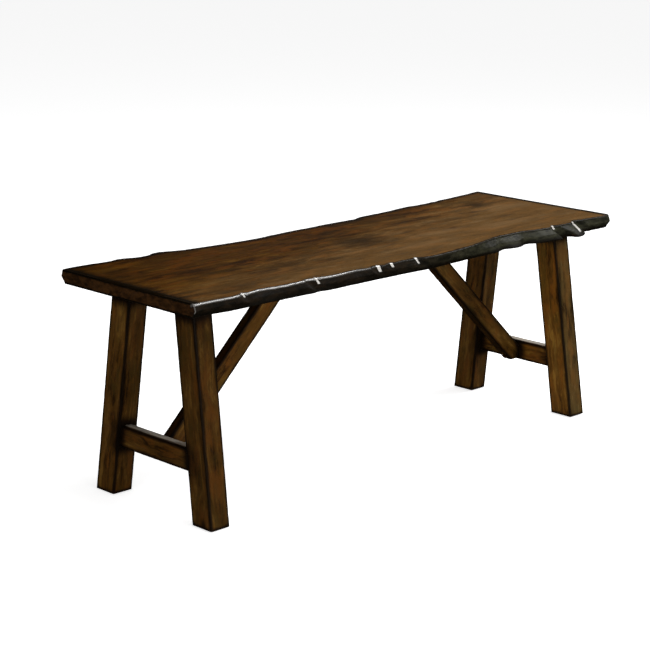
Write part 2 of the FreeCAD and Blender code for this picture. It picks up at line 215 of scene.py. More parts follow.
def station_ring(x, row, side, joint, corner_round, cuts, seed):
    """One cross-section of an edge board: from the joint over the top, down the live face and back."""
    wear_and_highlight = 0.0
    if side < 0:
        wear_and_highlight = least_wear_and_highlight + (1 - least_wear_and_highlight) * max(0.0, min(1.0, (x - wear_and_highlight_from) / (wear_and_highlight_to - wear_and_highlight_from)))
    rounding = top_round + top_round_wear * waves(x * 22.0, seed, 0.5) + top_round_worn * wear_and_highlight
    past_corner = max(0.0, abs(x) - (half_length - corner_round))
    corner_inset = corner_round - math.sqrt(max(0.0, corner_round ** 2 - past_corner ** 2))
    past_ease = max(0.0, abs(x) - (half_length - end_ease))
    inset = end_ease - math.sqrt(max(0.0, end_ease ** 2 - past_ease ** 2))
    near_cuts = [cut for cut in cuts if abs(cut[0] - x) < gouge_reach]

    def live_y(z):
        share = (z - seat_low - cad_ease) / (seat_high - seat_low - 2 * cad_ease) * (live_levels - 1)
        share = max(0.0, min(live_levels - 1.001, share))
        low = int(share)
        out = row[low] + (share - low) * (row[low + 1] - row[low])
        drop = seat_high - z
        nick = nick_depth(x, drop)[0] if side < 0 else 0.0
        return out - side * (corner_inset + hewn_depth(near_cuts, x, drop, seed) + nick)

    arris_y = live_y(seat_high - rounding) - side * rounding
    under_y = live_y(seat_low + low_round) - side * low_round
    width = abs(arris_y - joint)
    points = [(joint, seat_high)]
    fitting = [step for step in reversed(top_steps) if step < width - joint_clear]
    points += [(arris_y - side * step, seat_high) for step in fitting]
    missing = len(top_steps) - len(fitting)
    points[1:1] = [(joint + side * joint_step * (k + 1), seat_high) for k in range(missing)]
    points = [(y, z - top_dip(x, y)) for y, z in points]
    lip = seat_high - top_dip(x, arris_y)
    points += [
        (arris_y + side * rounding * math.sin(turn), lip - rounding * (1 - math.cos(turn)))
        for turn in arc_turns
    ]
    top_middle = len(points) - len(arc_turns) // 2 - 1
    face_low = seat_low + low_round
    face_high = lip - rounding
    for level in range(live_levels - 1, 0, -1):
        z = face_low + (face_high - face_low) * level / live_levels
        points.append((live_y(z), z))
    points += [
        (under_y + side * low_round * math.cos(turn), face_low - low_round * math.sin(turn))
        for turn in arc_turns
    ]
    low_middle = len(points) - len(arc_turns) // 2 - 1
    points += [(under_y - side * step, seat_low) for step in under_steps]
    points.append((joint, seat_low))
    lengths = [0.0]
    for (y0, z0), (y1, z1) in zip(points, points[1:]):
        lengths.append(lengths[-1] + math.hypot(y1 - y0, z1 - z0))
    # Distance from the nearer arris, below zero on the live face
    rims = [-min(length - lengths[top_middle], lengths[low_middle] - length) for length in lengths]
    # Polish and painted highlight: up to one along the worn arris, above one in the nicks and on the front
    # left corner
    corner = 0.0
    if side < 0 and x < 0:
        off = (past_corner / corner_round - corner_highlight_share) / corner_highlight_width_share
        corner = corner_polish_and_highlight * (1 - off ** 2)
    shine = []
    for k, (y, z) in enumerate(points):
        on_face = top_middle - 3 <= k < low_middle
        nick = nick_depth(x, seat_high - z)[1] if side < 0 and on_face else 0.0
        polish = max(nick, corner if on_face and seat_high - z < corner_highlight_depth else 0.0)
        shine.append(1.0 + polish if polish > 0 else wear_and_highlight)
    places = [Vector((x, y, min(seat_high - inset, max(seat_low + inset, z)))) for y, z in points]
    return places, rims, shine


def smooth(data, crease):
    """Shades a mesh smooth, but for its creases."""
    for face in data.polygons:
        face.use_smooth = True
    data.set_sharp_from_angle(angle=crease)


def finish_mesh(name, mesh, seed):
    """Turns a working mesh into a smooth-shaded object that knows its own number."""
    data = bpy.data.meshes.new(name)
    layer = mesh.verts.layers.float.new("piece")
    for vert in mesh.verts:
        vert[layer] = seed
    mesh.to_mesh(data)
    mesh.free()
    smooth(data, crease_angle)
    return new_object(name, data)


def edge_board(name, node, side, joint, left_round, right_round, seed):
    """One outer board of the seat, as rings of points from its left end to its right end."""
    cuts = gouges(seed)
    stations = stations_along(left_round, right_round)
    rows = live_reach(node, side, stations)
    mesh = bmesh.new()
    rim = mesh.verts.layers.float.new("rim")
    shine = mesh.verts.layers.float.new("shine")
    rings = []
    for x, row in zip(stations, rows):
        corner_round = left_round if x < 0 else right_round
        places, rims, shines = station_ring(x, row, side, joint, corner_round, cuts, seed)
        ring = [mesh.verts.new(place) for place in places]
        for vert, distance, polish in zip(ring, rims, shines):
            vert[rim] = distance
            vert[shine] = polish
        rings.append(ring)
    count = len(rings[0])
    for before, after in zip(rings, rings[1:]):
        for k in range(count):
            mesh.faces.new((before[k], before[k - 1], after[k - 1], after[k]))
    mesh.faces.new(rings[0])
    mesh.faces.new(reversed(rings[-1]))
    bmesh.ops.recalc_face_normals(mesh, faces=mesh.faces)
    return finish_mesh(name, mesh, seed)


def feed(tree, node, inputs):
    """Gives a node's sockets, by name or number, plain values or other nodes' outputs."""
    for name, value in inputs.items():
        if isinstance(value, bpy.types.NodeSocket):
            tree.links.new(value, node.inputs[name])
        else:
            node.inputs[name].default_value = value


def add_node(tree, kind, inputs, **settings):
    node = tree.nodes.new(kind)
    for name, value in settings.items():
        setattr(node, name, value)
    feed(tree, node, inputs)
    return node


def maths(tree, operation, a, b=0.0, c=0.0):
    return add_node(tree, "ShaderNodeMath", {0: a, 1: b, 2: c}, operation=operation).outputs[0]


def scaled(tree, a, b, plus=0.0):
    return maths(tree, "MULTIPLY_ADD", a, b, plus)


def vectors(tree, operation, a, b=(0, 0, 0)):
    return add_node(tree, "ShaderNodeVectorMath", {0: a, 1: b}, operation=operation).outputs[0]


def length_of(tree, vector):
    return add_node(tree, "ShaderNodeVectorMath", {0: vector}, operation="LENGTH").outputs["Value"]


def ramped(tree, value, low, high, start=0.0, end=1.0):
    """A smooth step: start at low, end at high."""
    inputs = {"Value": value, "From Min": low, "From Max": high, "To Min": start, "To Max": end}
    return add_node(tree, "ShaderNodeMapRange", inputs, interpolation_type="SMOOTHSTEP").outputs[0]


def blended(tree, factor, a, b):
    return add_node(tree, "ShaderNodeMix", {0: factor, 6: a, 7: b}, data_type="RGBA").outputs[2]


def stretched_noise(tree, place, scales, detail, roughness, distortion=0.0):
    """Noise in cycles a metre along, across and through the board."""
    drawn = vectors(tree, "MULTIPLY", place, scales)
    inputs = {"Vector": drawn, "Scale": 1.0, "Detail": detail, "Roughness": roughness}
    inputs["Distortion"] = distortion
    return add_node(tree, "ShaderNodeTexNoise", inputs).outputs[0]


def new_group(name, inputs, outputs, tree_kind="ShaderNodeTree"):
    """A node group with its sockets, given as (name, kind) pairs."""
    group = bpy.data.node_groups.new(name, tree_kind)
    for in_out, sockets in (("INPUT", inputs), ("OUTPUT", outputs)):
        for socket, kind in sockets:
            group.interface.new_socket(name=socket, in_out=in_out, socket_type="NodeSocket" + kind)
    given = group.nodes.new("NodeGroupInput").outputs
    return group, given, group.nodes.new("NodeGroupOutput")


ring_width = 0.0115               # between two growth rings
heart = (0, 0.045, 0.06)          # from the tree's heart to the middle of a board, roughly


def stained_grain_group():
    """Stained walnut: short streaks and stain patches along the grain, growth rings, tint and pores."""
    group, given, result = new_group(
        "stained grain",
        [("Place", "Vector"), ("Piece", "Float"), ("Swell", "Float"), ("Deep", "Color"), ("Body", "Color"),
         ("Bright", "Color"), ("Warm", "Color"), ("Olive", "Color"), ("Contrast", "Float")],
        [("Colour", "Color"), ("Roughness", "Float"), ("Height", "Float")],
    )
    own = add_node(group, "ShaderNodeCombineXYZ", {axis: given["Piece"] for axis in range(3)})
    own = vectors(group, "MULTIPLY", own.outputs[0], (3.71, 1.37, 2.19))
    place = vectors(group, "ADD", given["Place"], own)
    warp = stretched_noise(group, place, (5, 14, 14), 3, 0.55)
    bend = maths(group, "SUBTRACT", warp, 0.5)
    bend = scaled(group, bend, 0.045, scaled(group, given["Swell"], 0.010))
    bend = add_node(group, "ShaderNodeCombineXYZ", {1: bend, 2: bend})
    place = vectors(group, "ADD", place, bend.outputs[0])
    rings = vectors(group, "ADD", vectors(group, "MULTIPLY", given["Place"], (0.0, 1, 1)), heart)
    rings = scaled(group, warp, 0.075, length_of(group, rings))
    rings = scaled(group, given["Swell"], 0.030, rings)
    rings = maths(group, "SINE", scaled(group, rings, 2 * math.pi / ring_width))
    figure = stretched_noise(group, place, (9, 66, 66), 6, 0.62, 0.25)
    streak = stretched_noise(group, place, (4, 230, 230), 3, 0.6)
    mottle = stretched_noise(group, place, (7, 22, 22), 3, 0.55)
    tint = stretched_noise(group, place, (14, 40, 40), 4, 0.6)
    fleck = stretched_noise(group, place, (90, 420, 420), 3, 0.65)
    pore = ramped(group, stretched_noise(group, place, (60, 1100, 1100), 2, 0.6), 0.58, 0.68)
    tone = 0.0
    for part, share in ((figure, 0.42), (streak, 0.20), (mottle, 0.28), (fleck, 0.16), (rings, 0.012)):
        tone = scaled(group, part, share, tone)
    tone = scaled(group, maths(group, "SUBTRACT", tone, 0.53), given["Contrast"], 0.5)
    colour = blended(group, ramped(group, tone, 0.22, 0.50), given["Deep"], given["Body"])
    colour = blended(group, ramped(group, tone, 0.50, 0.82), colour, given["Bright"])
    tinting = maths(group, "DIVIDE", given["Contrast"], 3.0)
    warm = scaled(group, ramped(group, tint, 0.50, 0.64, 0.0, 0.75), tinting)
    olive = scaled(group, ramped(group, tint, 0.47, 0.34, 0.0, 0.60), tinting)
    colour = blended(group, warm, colour, given["Warm"])
    colour = blended(group, olive, colour, given["Olive"])
    colour = blended(group, scaled(group, pore, 0.45), colour, given["Deep"])
    rough = scaled(group, pore, 0.2, ramped(group, streak, 0.3, 0.7, 0.36, 0.50))
    height = scaled(group, pore, -0.9, scaled(group, streak, 0.6))
    height = scaled(group, figure, 0.5, height)
    feed(group, result, {"Colour": colour, "Roughness": rough, "Height": height})
    return group


stained_grain = stained_grain_group()


def marks_group(name, marks):
    """A mask of soft lengthwise patches on the seat's top."""
    group, given, result = new_group(name, [("Place", "Vector")], [("Mask", "Float")])
    wander = stretched_noise(group, given["Place"], (22, 80, 80), 4, 0.6)
    wander = scaled(group, maths(group, "SUBTRACT", wander, 0.5), 2.2)
    mask = 0.0
    for x, y, long, wide, strength in marks:
        off = vectors(group, "SUBTRACT", given["Place"], (x, y, 0))
        off = length_of(group, vectors(group, "MULTIPLY", off, (1 / long, 1 / wide, 0)))
        patch = ramped(group, maths(group, "ADD", off, wander), 1.3, 0.1, 0, strength)
        mask = maths(group, "MAXIMUM", mask, patch)
    feed(group, result, {"Mask": mask})
    return group


def new_material(name):
    material = bpy.data.materials.new(name)
    material.use_nodes = True
    return material, material.node_tree, material.node_tree.nodes["Principled BSDF"]


def bumped(tree, height, strength, distance):
    bump = add_node(tree, "ShaderNodeBump", {"Height": height, "Strength": strength, "Distance": distance})
    return bump.outputs[0]


def object_place(tree):
    return add_node(tree, "ShaderNodeTexCoord", {}).outputs["Object"]


def attribute(tree, name, output="Fac"):
    return add_node(tree, "ShaderNodeAttribute", {}, attribute_name=name).outputs[output]


seat_deep = (0.021, 0.0076, 0.0006, 1)
seat_body = (0.058, 0.0225, 0.0016, 1)
seat_bright = (0.110, 0.0500, 0.0060, 1)
seat_warm = (0.100, 0.0335, 0.0022, 1)
seat_olive = (0.044, 0.0225, 0.0030, 1)
seat_paler_by_stain_and_sheen = (1.72, 2.20, 7.7, 1)  # how much paler and greyer each channel is where the stain is thinnest and the painted sheen lies and how much darker where it is thickest and painted shade lies
seat_darker_by_stain_and_shade = (0.84, 0.76, 0.50, 1)  # and how much darker where it is thickest
knot_dark = (0.0210, 0.0100, 0.0018, 1)
live_dark = (0.0030, 0.0022, 0.0009, 1)
live_brown = (0.0085, 0.0048, 0.0016, 1)
# The live face's right part is painted olive-grey as a sheen
live_olive_sheen = (0.0205, 0.0200, 0.0108, 1)
live_shade = (0.0066, 0.0064, 0.0034, 1)
# Pale worn wood with a painted highlight on the front arris
live_wear_and_highlight = (0.22, 0.21, 0.195, 1)
# Painted highlight on the nicks' lit walls and on the front left corner
nick_highlight_pale = (0.46, 0.44, 0.41, 1)
end_dark = (0.0130, 0.0050, 0.0010, 1)
end_brown = (0.042, 0.0165, 0.0036, 1)

# Knots and dark stain, and paler streaks: place on the seat, half length, half width and strength
dark_marks = [
    (0.001, -0.006, 0.084, 0.055, 0.86), (0.476, 0.095, 0.040, 0.034, 0.75),
    (-0.262, -0.056, 0.060, 0.030, 0.55), (-0.470, -0.150, 0.075, 0.026, 0.30),
    (-0.558, 0.090, 0.050, 0.060, 0.50), (-0.130, 0.100, 0.120, 0.018, 0.40),
    (0.300, 0.020, 0.090, 0.012, 0.40), (-0.447, 0.010, 0.080, 0.022, 0.45),
    (0.150, 0.140, 0.100, 0.020, 0.35), (0.025, 0.100, 0.075, 0.026, 0.45),
    (-0.176, -0.088, 0.045, 0.018, 0.45), (-0.455, 0.120, 0.060, 0.030, 0.45),
]
pale_marks = [
    (-0.060, -0.006, 0.050, 0.013, 0.65), (-0.150, 0.016, 0.060, 0.010, 0.50),
    (0.190, -0.057, 0.110, 0.018, 0.50), (-0.540, -0.016, 0.045, 0.018, 0.50),
    (-0.516, -0.113, 0.040, 0.020, 0.45), (0.360, -0.090, 0.130, 0.024, 0.45),
    (0.500, 0.040, 0.085, 0.040, 0.45), (-0.260, 0.075, 0.070, 0.014, 0.40),
    (0.080, -0.120, 0.120, 0.020, 0.40), (0.104, 0.000, 0.035, 0.018, 0.60),
    (-0.566, 0.138, 0.040, 0.024, 0.55), (-0.064, -0.074, 0.110, 0.008, 0.55),
    (-0.390, 0.142, 0.050, 0.012, 0.50), (-0.485, -0.060, 0.110, 0.050, 0.55),
]
stain_and_sheen_right = 1.5           # how fast the stain thins and the painted sheen and light grow along the seat and across it
stain_and_sheen_back = -5.8
rim_stain = 0.007                 # how wide the dark stain is along the front edge,
rim_stain_back = 0.022            # how much wider it is along the back one,
end_stain = (0.0220, 0.0110)      # from where to where it darkens at the sawn ends,
end_stain_left = (0.0360, 0.0040)  # and from where to where it also does so at the left one
end_arris = (0.0060, 0.0020)
arris_wear_and_highlight = (0.0042, 0.0015)
drop_wear_and_highlight = (0.0085, 0.0050)
live_middle = 0.0115              # the live face is lightest this far below the top
live_middle_reach = (0.0125, 0.0050)


def seat_material():
    material, tree, shader = new_material("dark stained seat")
    place = object_place(tree)
    rim = attribute(tree, "rim")
    normal = add_node(tree, "ShaderNodeNewGeometry", {}).outputs["Normal"]
    facing = add_node(tree, "ShaderNodeSeparateXYZ", {0: normal}).outputs["X"]
    x, y, z = add_node(tree, "ShaderNodeSeparateXYZ", {0: place}).outputs
    streaks, knots = [
        add_node(tree, "ShaderNodeGroup", {"Place": place}, node_tree=group).outputs["Mask"]
        for group in (marks_group("pale streaks", pale_marks), marks_group("knots", dark_marks))
    ]
    # The stain is thinner towards the seat's right end and its front, and painted sheen and light make it
    # paler, greyer and softer in figure there; the darker left end and back are partly painted shade
    patchy = maths(tree, "SUBTRACT", stretched_noise(tree, place, (6, 18, 18), 3, 0.6), 0.5)
    thin_stain_and_sheen = scaled(tree, patchy, 0.9, 0.42)
    thin_stain_and_sheen = scaled(tree, x, stain_and_sheen_right, thin_stain_and_sheen)
    thin_stain_and_sheen = scaled(tree, y, stain_and_sheen_back, thin_stain_and_sheen)
    thick_stain_and_shade = ramped(tree, thin_stain_and_sheen, 0.25, -0.35)
    thin_stain_and_sheen = maths(tree, "MINIMUM", maths(tree, "MAXIMUM", thin_stain_and_sheen, 0.0), 1.15)
    wood = add_node(tree, "ShaderNodeGroup", {
        "Place": place, "Piece": attribute(tree, "piece"), "Swell": knots,
        "Contrast": scaled(tree, thin_stain_and_sheen, -1.5, 3.2),
        "Deep": seat_deep, "Body": seat_body, "Bright": seat_bright, "Warm": seat_warm, "Olive": seat_olive,
    }, node_tree=stained_grain).outputs
    colour = blended(tree, scaled(tree, streaks, 0.7), wood["Colour"], seat_bright)
    colour = vectors(tree, "MULTIPLY", colour, blended(tree, thin_stain_and_sheen, (1, 1, 1, 1), seat_paler_by_stain_and_sheen))
    colour = vectors(tree, "MULTIPLY", colour, blended(tree, thick_stain_and_shade, (1, 1, 1, 1), seat_darker_by_stain_and_shade))
    colour = blended(tree, knots, colour, knot_dark)
    wander = maths(tree, "SUBTRACT", stretched_noise(tree, place, (60, 90, 90), 3, 0.6), 0.5)
    # Stain gathered along the live edges and the sawn ends, widest along the back and at the left end
    back = ramped(tree, y, -0.02, 0.10)
    rim_wide = scaled(tree, back, rim_stain_back, rim_stain)
    rim_share = maths(tree, "DIVIDE", scaled(tree, wander, 0.010, rim), rim_wide)
    from_end = maths(tree, "SUBTRACT", half_length, maths(tree, "ABSOLUTE", x))
    end_wavy = scaled(tree, wander, 0.030, from_end)
    at_left = ramped(tree, x, 0.0, -0.10)
    stained = scaled(tree, ramped(tree, end_wavy, *end_stain_left, 0.0, 0.90), at_left)
    stained = maths(tree, "MAXIMUM", stained, ramped(tree, from_end, *end_stain, 0.0, 0.94))
    stained = maths(tree, "MAXIMUM", stained, ramped(tree, rim_share, 1.0, 0.22, 0.0, 0.93))
    colour = blended(tree, stained, colour, live_dark)
    # Live face, a very dark brown; to the right a painted olive-grey sheen lightens a band across its
    # middle, where the lacquer also lies thicker
    live = ramped(tree, scaled(tree, wander, 0.003, rim), 0.0008, -0.0010)
    cloud = stretched_noise(tree, place, (42, 42, 110), 4, 0.6, 0.4)
    drop = maths(tree, "SUBTRACT", seat_high, z)
    middle = maths(tree, "ABSOLUTE", maths(tree, "SUBTRACT", drop, live_middle))
    middle = ramped(tree, middle, *live_middle_reach)
    sheen = scaled(tree, ramped(tree, cloud, 0.36, 0.64), middle)
    olive = ramped(tree, x, -0.12, 0.20)
    shade = blended(tree, scaled(tree, olive, middle), live_dark, live_shade)
    face = blended(tree, sheen, shade, blended(tree, olive, live_brown, live_olive_sheen))
    colour = blended(tree, live, colour, face)
    # Sawn end grain, darker than the top and nearly black at its own edges
    end = ramped(tree, maths(tree, "ABSOLUTE", facing), 0.70, 0.90)
    end_grain = stretched_noise(tree, place, (30, 55, 110), 4, 0.6, 0.6)
    end_colour = blended(tree, ramped(tree, end_grain, 0.34, 0.66), end_dark, end_brown)
    from_face = maths(tree, "MINIMUM", drop, maths(tree, "SUBTRACT", z, seat_low))
    end_edge = ramped(tree, scaled(tree, wander, 0.004, from_face), *end_arris)
    end_colour = blended(tree, end_edge, end_colour, live_dark)
    colour = blended(tree, end, colour, end_colour)
    # The worn arris shows the wood's paler body with a painted highlight added, the nicks' lit walls and
    # the front left corner are painted pale as highlights, and all of these take the highest polish
    shine = attribute(tree, "shine")
    nick = maths(tree, "MAXIMUM", maths(tree, "SUBTRACT", shine, 1.0), 0.0)
    arris = scaled(tree, ramped(tree, maths(tree, "ABSOLUTE", rim), *arris_wear_and_highlight), shine)
    arris = scaled(tree, arris, ramped(tree, drop, *drop_wear_and_highlight))
    colour = blended(tree, scaled(tree, arris, 0.32), colour, live_wear_and_highlight)
    colour = blended(tree, ramped(tree, nick, 0.05, 0.60), colour, nick_highlight_pale)
    face_rough = scaled(tree, olive, -0.12, ramped(tree, cloud, 0.3, 0.7, 0.54, 0.68))
    rough = add_node(tree, "ShaderNodeMix", {0: live, 2: wood["Roughness"], 3: face_rough})
    lacquer = scaled(tree, scaled(tree, scaled(tree, live, olive), sheen), 0.025)
    polish = maths(tree, "MINIMUM", maths(tree, "MAXIMUM", arris, nick), 1.0)
    feed(tree, shader, {
        "Base Color": colour, "Roughness": rough.outputs[0], "Specular IOR Level": 0.06,
        "Coat Weight": maths(tree, "MAXIMUM", polish, lacquer), "Coat IOR": 1.9, "Coat Roughness": 0.21,
        "Normal": bumped(tree, wood["Height"], 0.25, 0.0006),
    })
    return material


seat_finish = seat_material()
# Name, node, side, straight joint, corner rounding at the left and the right end, and a number of its own
edge_boards = (
    ("front_live_board", "front_edge_board", -1, front_joint, 0.005, 0.010, 1.0),
    ("back_live_board", "back_edge_board", 1, back_joint, 0.008, 0.005, 2.0),
)
for name, node, side, joint, left_round, right_round, seed in edge_boards:
    board = edge_board(name, node, side, joint, left_round, right_round, seed)
    board.data.materials.append(seat_finish)
    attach(board, "root")
    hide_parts(node)

# Seat inner boards
# Two plain walnut boards between the live-edge ones, glued edge to edge, planed flat together and eased
# at their sawn ends. The pockets for the threaded inserts are bored into their undersides.
cut_along = 0.012
cut_across = 0.0095
merge_gap = 0.00001
flat_angle = math.radians(0.4)
top_skin = 0.0001


def merged_copy(node):
    """A copy of a CAD node's mesh with its loose triangles joined."""
    mesh = bmesh.new()
    mesh.from_mesh(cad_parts[node].data)
    bmesh.ops.remove_doubles(mesh, verts=mesh.verts, dist=merge_gap)
    return mesh


def working_copy(node):
    """A merged copy with its flat faces whole again."""
    mesh = merged_copy(node)
    bmesh.ops.dissolve_limit(mesh, angle_limit=flat_angle, verts=mesh.verts, edges=mesh.edges)
    return mesh


def cut_rows(mesh, normal, places):
    """Cuts the mesh with parallel planes, so that it has points to shape and shade."""
    for place in places:
        whole = mesh.verts[:] + mesh.edges[:] + mesh.faces[:]
        bmesh.ops.bisect_plane(mesh, geom=whole, plane_co=normal * place, plane_no=normal, dist=merge_gap)


def even_places(low, high, step):
    count = max(1, round((high - low) / step))
    return [low + (high - low) * k / count for k in range(1, count)]


def inner_board(name, node, seed):
    mesh = working_copy(node)
    low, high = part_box(node)
    cut_rows(mesh, Vector((1, 0, 0)), even_places(low.x, high.x, cut_along))
    cut_rows(mesh, Vector((0, 1, 0)), even_places(low.y, high.y, cut_across))
    rim = mesh.verts.layers.float.new("rim")
    for vert in mesh.verts:
        vert[rim] = 1.0
        if vert.co.z > high.z - top_skin:
            vert.co.z -= top_dip(vert.co.x, vert.co.y)
    return finish_mesh(name, mesh, seed)


for row, seed in (("front", 3.0), ("back", 4.0)):
    node = row + "_inner_board"
    board = inner_board(row + "_middle_board", node, seed)
    board.data.materials.append(seat_finish)
    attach(board, "root")
    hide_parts(node)

# Legs
# Four splayed legs of the same walnut, planed by hand, their arrises eased and darkened with stain.
# Each stands on a glide, takes the stretcher's tenon and carries the batten on its sawn top.
frame_deep = (0.0150, 0.0056, 0.0006, 1)
frame_body = (0.058, 0.0240, 0.0024, 1)
frame_bright = (0.116, 0.0560, 0.0080, 1)
frame_warm = (0.090, 0.0305, 0.0026, 1)
frame_olive = (0.040, 0.0230, 0.0032, 1)
frame_sheen_grey = (1.0, 1.34, 3.3, 1)
frame_stain_and_shade_dark = (0.0036, 0.0018, 0.0006, 1)
top_sheen_pale = (0.68, 0.62, 0.53, 1)
# How pale each bar is on its faces towards the bench's ends and on its front and back faces, partly stain
# and partly painted light and shade, and how much painted greyish sheen the front and back faces carry
stain_and_light_tones = {
    "front_left_leg": (0.82, 0.62, 0.0), "back_left_leg": (1.22, 0.86, 0.0),
    "front_right_leg": (1.60, 0.98, 1.0), "back_right_leg": (0.92, 0.85, 0.2),
    "left_stretcher": (0.98, 1.0, 0.0), "right_stretcher": (1.50, 1.0, 0.35),
    "left_batten": (0.8, 0.8, 0.0), "right_batten": (0.8, 0.8, 0.0),
    "left_brace": (0.9, 1.2, 0.0), "right_brace": (0.9, 0.85, 0.2),
}
bar_step = 0.009
arris_cuts = (0.0028, 0.0060, 0.0110)
arris_stain = (0.0082, 0.0020)    # from where to where the stain darkens towards an arris
joint_stain_and_shade_reach = 0.030               # how far from a neighbouring part dark stain and painted shade still reach
plane_marks = 0.00022
arris_wear = 0.0011
arris_width = 0.004
side_skin = 0.0004
buried_gap = 0.0006               # nearer to its neighbour than this, a face is hidden and keeps its shape
top_sheen_overlap = 0.004               # how far past a stretcher's middle its top still carries the painted sheen


def frame_material():
    material, tree, shader = new_material("dark stained frame")
    grain = attribute(tree, "grain", "Vector")
    wood = add_node(tree, "ShaderNodeGroup", {
        "Place": grain, "Piece": attribute(tree, "piece"), "Contrast": 2.8, "Deep": frame_deep,
        "Body": frame_body, "Bright": frame_bright, "Warm": frame_warm, "Olive": frame_olive,
    }, node_tree=stained_grain).outputs
    wander = maths(tree, "SUBTRACT", stretched_noise(tree, grain, (30, 160, 160), 3, 0.6), 0.5)
    # Paler or darker by bar and by which way each face looks, partly stain and partly painted light and
    # shade, with a painted greyish sheen on front and back faces
    colour = vectors(tree, "MULTIPLY", wood["Colour"], attribute(tree, "tone"))
    sheen_greying = blended(tree, attribute(tree, "sheen_grey_share"), (1, 1, 1, 1), frame_sheen_grey)
    colour = vectors(tree, "MULTIPLY", colour, sheen_greying)
    edge = scaled(tree, wander, 0.006, attribute(tree, "edge"))
    colour = blended(tree, ramped(tree, edge, *arris_stain, 0.0, 0.93), colour, frame_stain_and_shade_dark)
    # Painted pale sheen on a stretcher's top, where the coat is also glossier
    top_sheen = ramped(tree, wander, -0.12, 0.08, 0.45, 1.0)
    top_sheen = scaled(tree, attribute(tree, "top_sheen"), top_sheen)
    colour = blended(tree, top_sheen, colour, top_sheen_pale)
    # Darker near neighbouring parts and on a brace's narrow sides: dark stain at the joints, painted shade
    # between the parts
    darkening_stain_and_shade = scaled(tree, wander, 0.45, attribute(tree, "darkening_stain_and_shade"))
    darkening_stain_and_shade = scaled(tree, top_sheen, -0.8, darkening_stain_and_shade)
    colour = blended(tree, ramped(tree, darkening_stain_and_shade, 0.12, 0.85, 0.0, 0.95), colour, frame_stain_and_shade_dark)
    feed(tree, shader, {
        "Base Color": colour, "Roughness": wood["Roughness"], "Specular IOR Level": 0.06,
        "Coat Weight": scaled(tree, top_sheen, 0.8), "Coat Roughness": 0.25,
        "Normal": bumped(tree, wood["Height"], 0.3, 0.0006),
    })
    return material


frame_finish = frame_material()


def bar_axes(mesh):
    """A straight bar's middle, and its directions and half sizes along, across and through it."""
    longest = max(mesh.edges, key=lambda edge: edge.calc_length())
    along = (longest.verts[1].co - longest.verts[0].co).normalized()
    if along.z + along.y < 0:
        along = -along
    widest = max(mesh.faces, key=lambda face: face.calc_area())
    through = (widest.normal - along * widest.normal.dot(along)).normalized()
    across = through.cross(along)
    axes = (along, across, through)
    spans = [[vert.co.dot(axis) for vert in mesh.verts] for axis in axes]
    middle = sum((axis * (min(span) + max(span)) / 2 for axis, span in zip(axes, spans)), Vector())
    halves = [(max(span) - min(span)) / 2 for span in spans]
    return middle, axes, halves


def frame_bar(node, neighbours, seed, dark_sides=0.0, top_sheen_strength=0.0):
    """A bar of the frame: the solid's shape with planed faces and worn arrises, dark stain and painted
    shade at its joints, stain and painted light by which way each face looks, and a painted sheen on a
    stretcher's top.
    """
    mesh = working_copy(node)
    middle, axes, halves = bar_axes(mesh)
    for axis, half in zip(axes[1:], halves[1:]):
        for cut in arris_cuts:
            base = middle.dot(axis)
            cut_rows(mesh, axis, (base - half + cut, base + half - cut))
    base = middle.dot(axes[0])
    cut_rows(mesh, axes[0], even_places(base - halves[0], base + halves[0], bar_step))
    mesh.normal_update()
    trees = [solid_tree(neighbour) for neighbour in neighbours]
    grain = mesh.verts.layers.float_vector.new("grain")
    edge, darkening_stain_and_shade, top_sheen, tone, sheen_greying = [
        mesh.verts.layers.float.new(label) for label in ("edge", "darkening_stain_and_shade", "top_sheen", "tone", "sheen_grey_share")
    ]
    end_stain_and_light, side_stain_and_light, sheen_grey_share = stain_and_light_tones[node]
    foot = min(vert.co.z for vert in mesh.verts)
    moves = []
    for vert in mesh.verts:
        local = Vector([(vert.co - middle).dot(axis) for axis in axes])
        inside = [half - abs(part) for half, part in zip(halves[1:], local[1:])]
        near = min(tree.find_nearest(vert.co)[3] for tree in trees)
        vert[grain] = local
        vert[edge] = max(inside)
        if node.endswith("leg"):
            vert[edge] = min(max(inside), max(vert.co.z - foot, min(inside)))
        # Dark stain at the joints and painted shade near neighbouring parts, and a brace's darkened narrow
        # sides
        vert[darkening_stain_and_shade] = max(0.0, 1 - near / joint_stain_and_shade_reach, dark_sides if inside[0] < side_skin else 0.0)
        # A stretcher's top gets a painted pale sheen
        on_top = vert.normal.z > 0.5 and vert.co.x > middle.x - top_sheen_overlap
        vert[top_sheen] = top_sheen_strength if on_top else 0.0
        # Tone by which way the face looks, partly stain and partly painted light and shade; painted greyish
        # sheen
        vert[tone] = vert.normal.x ** 2 * end_stain_and_light + vert.normal.y ** 2 * side_stain_and_light + vert.normal.z ** 2
        vert[sheen_greying] = sheen_grey_share * vert.normal.y ** 2
        hollow = waves(local.x * 26, local.y * 60, local.z * 60 + seed)
        dent = max(0.0, noise.noise(Vector((local.x * 75, local.y * 12, local.z * 12 + seed * 5))) - 0.12)
        on_arris = max(0.0, 1 - max(inside) / arris_width)
        buried = near < buried_gap
        moves.append(0.0 if buried else plane_marks * hollow + arris_wear * dent * on_arris)
    for vert, move in zip(mesh.verts, moves):
        vert.co -= vert.normal * move
    bar = finish_mesh(node + "_bar", mesh, seed)
    bar.data.materials.append(frame_finish)
    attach(bar, "root")
    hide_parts(node)


seed = 10.0
for end in ("left", "right"):
    for row in ("front", "back"):
        frame_bar(row + "_" + end + "_leg", (end + "_stretcher", end + "_batten"), seed)
        seed += 1

